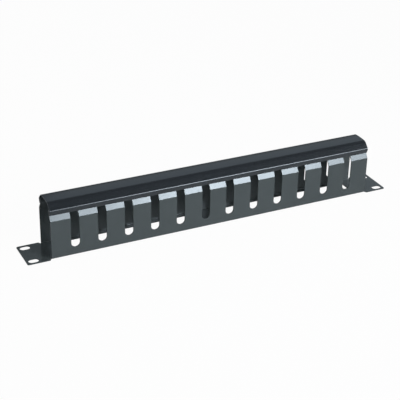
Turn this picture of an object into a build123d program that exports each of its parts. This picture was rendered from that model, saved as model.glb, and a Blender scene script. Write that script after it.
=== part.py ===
from build123d import *
import os
from math import cos, radians, sin

# Rack panel. It lies on its back: X runs along the rack opening, Y is the rack height, Z points to the front.
panel_length = 482.6
panel_height = 44.0
panel_sheet = 1.2
ear_length = 29.6
ear_corner_radius = 1.5
shoulder_run = 2.5

# Rack screw slots, set in from the panel's edges so that they fit a 19-inch rack
rack_slot_length = 12.4
rack_slot_width = 8.4
rack_slot_inset_x = 8.75
rack_slot_inset_y = 6.125

# Channel bent up from the panel
wall_inset = 1.8
fold_inner_radius = 0.7

# Comb slots, the same in both walls, with the fingers left between them
slots_each_half = 6
slot_width = 10.6
slot_floor_height = 10.5
end_finger_width = 23.9
middle_finger_width = 21.4

# Finger tips: they lean in to a waist, then turn back out under the cover
finger_bend_height = 48.4
tip_rise = 10.0
tip_lean = 30.0
hook_lean = 35.0

# Cable windows in the panel, one each side of a middle bridge
bridge_width = 36.0
window_side_margin = 6.7
window_end_margin = 14.5
window_corner_radius = 4.0

# Cover, placed from the walls and from the waist of the fingers
cover_sheet = 1.0
cover_clearance = 0.3
lip_inset = 0.5
lip_rise = 2.8
lip_radius = 2.2
slope_run = 7.7
slope_rise = 8.0
ridge_rise = 0.9
crown_share = 0.6
shoulder_radius = 7.5
flange_lean = 20.0

# Values that follow from the sizes above
rack_spacing_x = panel_length - 2 * rack_slot_inset_x
rack_spacing_y = panel_height - 2 * rack_slot_inset_y
channel_length = panel_length - 2 * ear_length
channel_width = panel_height - 2 * wall_inset
channel_end = channel_length / 2
wall_face = channel_width / 2
fold_outer_radius = fold_inner_radius + panel_sheet
window_length = (channel_length - bridge_width) / 2 - window_end_margin
window_width = channel_width - 2 * window_side_margin
first_slot = (middle_finger_width + slot_width) / 2
last_slot = channel_end - end_finger_width - slot_width / 2
slot_pitch = (last_slot - first_slot) / (slots_each_half - 1)


def in_section(angle_from_vertical):
    """A direction in the cross-section that rises and leans outward by the angle, as (y, z)."""
    return Vector(sin(radians(angle_from_vertical)), cos(radians(angle_from_vertical)))


def lines_meet(start, direction, other_start, other_direction):
    """The point where two lines of the cross-section cross."""
    gap = other_start - start
    share = gap.X * other_direction.Y - gap.Y * other_direction.X
    share = share / (direction.X * other_direction.Y - direction.Y * other_direction.X)
    return start + direction * share


def shifted(direction, distance):
    """A shift at right angles to a direction, to its right when looking along it."""
    return Vector(direction.Y, -direction.X) * distance


def mirrored_path(half_points, half_radii, middle_points=(), middle_radii=()):
    """A rounded path through the half's points, the middle ones and the half's mirror image."""
    far_points = [Vector(-point.X, point.Y) for point in reversed(half_points)]
    radii = [*half_radii, *middle_radii, *reversed(half_radii)]
    return FilletPolyline(*half_points, *middle_points, *far_points, radius=radii)


def folded_sheet(outer_path, thickness, side):
    """A sheet of one thickness inside a path of the cross-section, run along the channel."""
    section = make_face(offset(outer_path, amount=thickness, side=side))
    middle = Plane(origin=(0, 0, 0), x_dir=(0, 1, 0), z_dir=(1, 0, 0))
    return extrude(middle * section, amount=channel_end, both=True)


# Points of the cross-section, on the outer faces of the sheets
tip_direction = in_section(-tip_lean)
finger_bend = Vector(wall_face, finger_bend_height)
waist = finger_bend + tip_direction * (tip_rise / tip_direction.Y)
cover_lip = Vector(wall_face - lip_inset, waist.Y + lip_rise)
cover_shoulder = cover_lip + Vector(-slope_run, slope_rise)
cover_ridge = Vector(0, cover_shoulder.Y + ridge_rise)


def hook_end():
    """Where the finger ends, one clearance below the inside of the cover's slope."""
    slope = (cover_lip - cover_shoulder).normalized()
    ceiling = cover_shoulder + shifted(slope, cover_sheet + cover_clearance)
    return lines_meet(waist, in_section(hook_lean), ceiling, slope)


def flange_end():
    """Where the cover's flange ends, with its inner face one clearance off the leaning tip."""
    flange = in_section(flange_lean) * -1
    inner_face = cover_lip + shifted(flange, cover_sheet)
    tip_surface = finger_bend + shifted(tip_direction, cover_clearance)
    inner_end = lines_meet(inner_face, flange, tip_surface, tip_direction)
    return inner_end - shifted(flange, cover_sheet)


def crown_radius():
    """The rounding of the cover's ridge, which takes its share of the roof between the shoulders."""
    return crown_share * cover_shoulder.X**2 / ridge_rise


def slot_centres():
    """The places of the comb slots along X, outward from the middle finger on both sides."""
    outward = [first_slot + slot_pitch * step for step in range(slots_each_half)]
    return [-x for x in reversed(outward)] + outward


def channel_body():
    """The bottom, the two walls and the fingers' bent tips, before the slots are cut."""
    corner = Vector(wall_face, 0)
    radii = [fold_inner_radius, fold_outer_radius, fold_outer_radius]
    path = mirrored_path([hook_end(), waist, finger_bend, corner], radii)
    return folded_sheet(path, panel_sheet, Side.RIGHT)


def panel_plate():
    """The flat panel, narrowed along the channel and slanted out to the full height at the ears."""
    flat_edge = wall_face - fold_outer_radius
    quarter = [
        (0, flat_edge),
        (channel_end, flat_edge),
        (channel_end + shoulder_run, panel_height / 2),
        (panel_length / 2, panel_height / 2),
        (panel_length / 2, 0),
        (0, 0),
    ]
    corner = make_face(Polyline(*quarter, close=True))
    half = corner + mirror(corner, Plane.YZ)
    outline = half + mirror(half, Plane.XZ)
    plate = extrude(outline, amount=panel_sheet)
    ear_corners = plate.edges().filter_by(Axis.Z).group_by(SortBy.DISTANCE)[-1]
    return fillet(ear_corners, ear_corner_radius)


def comb_slots():
    """One cutter for each pair of facing slots, open at the top and round at the bottom."""
    radius = slot_width / 2
    straight = cover_ridge.Y - slot_floor_height - radius
    opening = Circle(radius) + Pos(0, straight / 2) * Rectangle(slot_width, straight)
    cutter = extrude(Plane.XZ * opening, amount=channel_width, both=True)
    return [Pos(x, 0, slot_floor_height + radius) * cutter for x in slot_centres()]


def cable_windows():
    """The two long windows in the panel."""
    window = RectangleRounded(window_length, window_width, window_corner_radius)
    spacing = window_length + bridge_width
    openings = Sketch() + GridLocations(spacing, 0, 2, 1) * window
    return extrude(openings, amount=panel_sheet)


def rack_slots():
    """The four slots in the ears."""
    slot = SlotOverall(rack_slot_length, rack_slot_width)
    openings = Sketch() + GridLocations(rack_spacing_x, rack_spacing_y, 2, 2) * slot
    return extrude(openings, amount=panel_sheet)


def comb_channel():
    """The whole folded sheet with its slots and windows."""
    return channel_body() + panel_plate() - comb_slots() - cable_windows() - rack_slots()


def snap_cover():
    """The cover: a low ridge, two sloping sides and flanges turned in over the fingers."""
    radii = [lip_radius, shoulder_radius]
    half = [flange_end(), cover_lip, cover_shoulder]
    path = mirrored_path(half, radii, [cover_ridge], [crown_radius()])
    return folded_sheet(path, cover_sheet, Side.LEFT)


os.makedirs("parts", exist_ok=True)
export_step(comb_channel(), "parts/comb_channel.step")
export_step(snap_cover(), "parts/snap_cover.step")
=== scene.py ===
from math import cos, pi, radians, sin, tan

import bpy
from mathutils import Matrix, Vector

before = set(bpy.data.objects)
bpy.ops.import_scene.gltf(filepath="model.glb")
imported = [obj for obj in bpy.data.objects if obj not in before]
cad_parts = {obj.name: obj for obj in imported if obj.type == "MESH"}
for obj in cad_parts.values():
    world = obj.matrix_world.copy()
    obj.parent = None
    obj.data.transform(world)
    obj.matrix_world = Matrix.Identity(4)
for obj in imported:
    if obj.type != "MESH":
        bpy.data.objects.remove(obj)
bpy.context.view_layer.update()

MM = 0.001

# Camera, as fitted to the photograph: angles in degrees, lengths in millimetres, the picture 400 pixels wide
CAMERA_AZIMUTH = -26.209
CAMERA_ELEVATION = 27.538
CAMERA_ROLL = 1.217
CAMERA_DISTANCE = 1414.27
CAMERA_SIDE = -13.560
CAMERA_RISE = 20.585
FOCAL_PIXELS = 1147.06
PICTURE_PIXELS = 400
CENTRE_PIXEL = (199.157, 199.984)
SENSOR_MM = 36.0
CLIP_END = 100.0

# Edges of the cut sheet, rounded by the paint
EDGE_RADIUS = 0.18 * MM
EDGE_SEGMENTS = 2
EDGE_ANGLE = 35.0
WELD_DISTANCE = 0.001 * MM
FLAT_FACE_WEIGHT = 100

# Paint of each sheet: base colour, index of refraction and tint of the sheen
CHANNEL_PAINT = ((0.0710, 0.0830, 0.0850), 1.54, (0.83, 0.92, 1.0))
# The cover has the channel's powder coat. Its base colour is set at about a fifth of the channel's as
# painted shade, for its dark slope and the dark band under its lip
COVER_PAINT_WITH_PAINTED_SHADE = ((0.0155, 0.0185, 0.0225), 1.71, (0.84, 0.92, 1.0))

# Powder coat. Each noise has its cycles for each metre and its detail.
TONE_NOISE = (35.0, 3.0)
TONE_CHANGE = 0.12
GLOSS_NOISE = (60.0, 2.0)
GLOSS_ROUGHNESS = (0.17, 0.20)
PEEL_NOISE = (900.0, 2.0)
PEEL_DEPTH = 0.001 * MM
USUAL_NOISE = (0.3, 0.7)

# Floor, just under the panel's back
FLOOR_SIZE = 30.0
FLOOR_GAP = 0.1 * MM
FLOOR_GREY = 0.8

# World: its tint, and its strength at these heights of a direction, from the horizon up
WORLD_TINT = (0.85, 0.95, 1.0)
WORLD_HEIGHTS = (0.0, 0.5)
WORLD_STRENGTHS = (0.17, 0.15)

# Share of plain white that the background shows to the camera and to mirrored rays
WHITE_SEEN = 0.97
WHITE_IN_FLOOR = 0.12
WHITE_IN_WORLD = 0.05


def opaque(red, green, blue):
    """A colour as Blender's sockets take it."""
    return red, green, blue, 1.0


def socket(node, name, value):
    """Sets an input of a node that nothing is linked to."""
    node.inputs[name].default_value = value


def empty_tree(owner):
    """Clears the nodes of a material, world or lamp. Returns the functions that add and link its nodes."""
    owner.use_nodes = True
    tree = owner.node_tree
    tree.nodes.clear()
    return tree.nodes.new, tree.links.new


def combine(add, link, operation, *values):
    """A math node whose inputs are numbers or the outputs of other nodes."""
    node = add("ShaderNodeMath")
    node.operation = operation
    for value, place in zip(values, node.inputs):
        if isinstance(value, bpy.types.NodeSocket):
            link(value, place)
        else:
            place.default_value = value
    return node.outputs["Value"]


def remap(add, link, value, old_range, new_range):
    """A value mapped linearly from one range to another, and held at the new range's ends."""
    step = add("ShaderNodeMapRange")
    names = ("From Min", "From Max", "To Min", "To Max")
    for name, number in zip(names, (*old_range, *new_range)):
        socket(step, name, number)
    link(value, step.inputs["Value"])
    return step.outputs["Result"]


def blend(add, link, share, first, second):
    """The first shader where the share is 0, and the second where it is 1."""
    mix = add("ShaderNodeMixShader")
    for value, place in zip((share, first, second), mix.inputs):
        link(value, place)
    return mix.outputs["Shader"]


def object_noise(add, link, scale, detail):
    """A noise that is fixed to the object and has no stretch, with its scale in cycles for each metre."""
    place = add("ShaderNodeTexCoord")
    noise = add("ShaderNodeTexNoise")
    socket(noise, "Scale", scale)
    socket(noise, "Detail", detail)
    link(place.outputs["Object"], noise.inputs["Vector"])
    return noise.outputs["Fac"]


def plain_white(add, kind):
    """An emission or background that is white at strength 1."""
    white = add(kind)
    socket(white, "Color", opaque(1.0, 1.0, 1.0))
    socket(white, "Strength", 1.0)
    return white


def white_share(add, link, mirrored):
    """How much plain white the background shows to a ray, with this share for mirrored ones."""
    rays = add("ShaderNodeLightPath").outputs
    bounced = combine(add, link, "MAXIMUM", rays["Is Glossy Ray"], rays["Is Transmission Ray"])
    bounced = combine(add, link, "MULTIPLY", bounced, mirrored)
    direct = combine(add, link, "MULTIPLY", rays["Is Camera Ray"], WHITE_SEEN)
    return combine(add, link, "MAXIMUM", bounced, direct)


def powder_coat(name, colour, ior, sheen_tint):
    """Semi-gloss powder coat: fine orange peel, small patches of gloss and a faint change of tone."""
    material = bpy.data.materials.new(name)
    add, link = empty_tree(material)
    paint = add("ShaderNodeBsdfPrincipled")
    socket(paint, "IOR", ior)
    socket(paint, "Specular Tint", opaque(*sheen_tint))

    tone = add("ShaderNodeMix")
    tone.data_type = "RGBA"
    socket(tone, "A", opaque(*((1 - TONE_CHANGE) * part for part in colour)))
    socket(tone, "B", opaque(*((1 + TONE_CHANGE) * part for part in colour)))
    link(object_noise(add, link, *TONE_NOISE), tone.inputs["Factor"])
    link(tone.outputs["Result"], paint.inputs["Base Color"])

    gloss = object_noise(add, link, *GLOSS_NOISE)
    link(remap(add, link, gloss, USUAL_NOISE, GLOSS_ROUGHNESS), paint.inputs["Roughness"])

    peel = add("ShaderNodeBump")
    socket(peel, "Distance", PEEL_DEPTH)
    link(object_noise(add, link, *PEEL_NOISE), peel.inputs["Height"])
    link(peel.outputs["Normal"], paint.inputs["Normal"])

    link(paint.outputs["BSDF"], add("ShaderNodeOutputMaterial").inputs["Surface"])
    return material


def round_edges(sheet):
    """Rounds the edges of a packed sheet as paint does, without changing its own mesh."""
    weld = sheet.modifiers.new("weld", "WELD")
    weld.merge_threshold = WELD_DISTANCE
    bevel = sheet.modifiers.new("edges", "BEVEL")
    bevel.width = EDGE_RADIUS
    bevel.segments = EDGE_SEGMENTS
    bevel.limit_method = "ANGLE"
    bevel.angle_limit = radians(EDGE_ANGLE)
    normals = sheet.modifiers.new("flat_faces", "WEIGHTED_NORMAL")
    normals.weight = FLAT_FACE_WEIGHT
    normals.keep_sharp = True


def paint_sheet(node, material):
    """Gives a packed sheet its powder coat and the rounded edges that go with it."""
    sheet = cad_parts[node]
    sheet.material_slots[0].material = material
    round_edges(sheet)


def pale_floor():
    """A plain pale floor, nearly white to the camera. It keeps a faint shadow."""
    material = bpy.data.materials.new("pale_floor")
    add, link = empty_tree(material)
    lit = add("ShaderNodeBsdfDiffuse")
    socket(lit, "Color", opaque(FLOOR_GREY, FLOOR_GREY, FLOOR_GREY))
    white = plain_white(add, "ShaderNodeEmission")
    share = white_share(add, link, WHITE_IN_FLOOR)
    surface = blend(add, link, share, lit.outputs["BSDF"], white.outputs["Emission"])
    link(surface, add("ShaderNodeOutputMaterial").inputs["Surface"])

    bpy.ops.mesh.primitive_plane_add(size=FLOOR_SIZE, location=(0, 0, -FLOOR_GAP))
    floor = bpy.context.object
    floor.name = "floor"
    floor.data.materials.append(material)


def studio_world():
    """A dim studio, a little paler near the horizon, and as white to the camera as the floor."""
    world = bpy.data.worlds.new("studio")
    bpy.context.scene.world = world
    add, link = empty_tree(world)
    parts = add("ShaderNodeSeparateXYZ")
    link(add("ShaderNodeTexCoord").outputs["Generated"], parts.inputs["Vector"])
    dim = add("ShaderNodeBackground")
    socket(dim, "Color", opaque(*WORLD_TINT))
    link(remap(add, link, parts.outputs["Z"], WORLD_HEIGHTS, WORLD_STRENGTHS), dim.inputs["Strength"])
    white = plain_white(add, "ShaderNodeBackground")
    share = white_share(add, link, WHITE_IN_WORLD)
    surface = blend(add, link, share, dim.outputs["Background"], white.outputs["Background"])
    link(surface, add("ShaderNodeOutputWorld").inputs["Surface"])


def share_on_box(add, link, brightest, fall_off):
    """The share of its full radiance at each point of a lamp, falling off evenly from its brightest point.

    Both are (across, up), in shares of the lamp's size."""
    parts = add("ShaderNodeSeparateXYZ")
    link(add("ShaderNodeNewGeometry").outputs["Parametric"], parts.inputs["Vector"])
    shares = []
    for axis, centre, slope in zip("XY", brightest, fall_off):
        offset = combine(add, link, "SUBTRACT", parts.outputs[axis], centre)
        distance = combine(add, link, "ABSOLUTE", offset)
        shares.append(combine(add, link, "MULTIPLY_ADD", distance, -slope, 1.0))
    return combine(add, link, "MULTIPLY", *shares)


def soft_box(
    name, place, target, size, radiance, colour, grid_angle=180.0, brightest=(0.5, 0.5), fall_off=(0.0, 0.0)
):
    """A rectangular soft box that faces its target, with a grid that narrows its beam.

    The radiance is the one straight ahead of its brightest point."""
    width, height = size
    data = bpy.data.lights.new(name, "AREA")
    data.shape = "RECTANGLE"
    data.size = width
    data.size_y = height
    data.color = colour
    data.spread = radians(grid_angle)
    half_beam = radians(grid_angle) / 2
    data.energy = radiance * width * height * pi * (1 - half_beam / tan(half_beam))

    add, link = empty_tree(data)
    light = add("ShaderNodeEmission")
    link(share_on_box(add, link, brightest, fall_off), light.inputs["Strength"])
    link(light.outputs["Emission"], add("ShaderNodeOutputLight").inputs["Surface"])

    lamp = bpy.data.objects.new(name, data)
    lamp.location = place
    lamp.rotation_euler = (Vector(target) - Vector(place)).to_track_quat("-Z", "Y").to_euler()
    lamp.visible_camera = False
    bpy.context.scene.collection.objects.link(lamp)


def photo_camera():
    """The camera at the photograph's place, with its small roll and its small shift."""
    azimuth, elevation, roll = map(radians, (CAMERA_AZIMUTH, CAMERA_ELEVATION, CAMERA_ROLL))
    back = Vector((sin(azimuth) * cos(elevation), -cos(azimuth) * cos(elevation), sin(elevation)))
    level_right = Vector((cos(azimuth), sin(azimuth), 0))
    level_up = back.cross(level_right)
    right = level_right * cos(roll) + level_up * sin(roll)
    up = level_up * cos(roll) - level_right * sin(roll)
    place = (back * CAMERA_DISTANCE + right * CAMERA_SIDE + up * CAMERA_RISE) * MM

    data = bpy.data.cameras.new("photo_camera")
    data.sensor_width = SENSOR_MM
    data.lens = FOCAL_PIXELS * SENSOR_MM / PICTURE_PIXELS
    data.shift_x = (PICTURE_PIXELS / 2 - CENTRE_PIXEL[0]) / PICTURE_PIXELS
    data.shift_y = (CENTRE_PIXEL[1] - PICTURE_PIXELS / 2) / PICTURE_PIXELS
    data.clip_end = CLIP_END
    camera = bpy.data.objects.new("photo_camera", data)
    camera.matrix_world = Matrix.Translation(place) @ Matrix((right, up, back)).transposed().to_4x4()
    bpy.context.scene.collection.objects.link(camera)
    bpy.context.scene.camera = camera


photo_camera()
bpy.context.scene.view_settings.view_transform = "Standard"

paint_sheet("comb_channel", powder_coat("channel_powder_coat", *CHANNEL_PAINT))
# The cover's darker base colour is painted shade
paint_sheet("snap_cover", powder_coat("cover_powder_coat_with_painted_shade", *COVER_PAINT_WITH_PAINTED_SHADE))
pale_floor()
studio_world()

# The key lights the tips from the front right, the roof mirrors back_fill, and the two side lamps light the
# rear wall and the left end
soft_box(
    "key", place=(0.46, -0.86, 0.575), target=(-0.03, -0.02, 0.03), size=(1.10, 0.45), radiance=26.0,
    colour=(0.95, 0.98, 1.0), grid_angle=60.0, brightest=(0.49, 0.50), fall_off=(0.85, 1.80),
)
soft_box(
    "back_fill", place=(1.10, 1.50, 1.25), target=(1.10, 0, 1.25), size=(1.70, 1.10), radiance=0.33,
    colour=(0.76, 0.89, 1.0),
)
soft_box(
    "rear_side", place=(-1.15, 1.05, 0.55), target=(0, 0, 0.03), size=(1.10, 0.80), radiance=2.2,
    colour=(0.97, 0.98, 1.0),
)
soft_box(
    "front_side", place=(-1.20, -0.80, 0.42), target=(0, 0, 0.03), size=(0.90, 0.70), radiance=1.3,
    colour=(0.97, 0.98, 1.0),
)
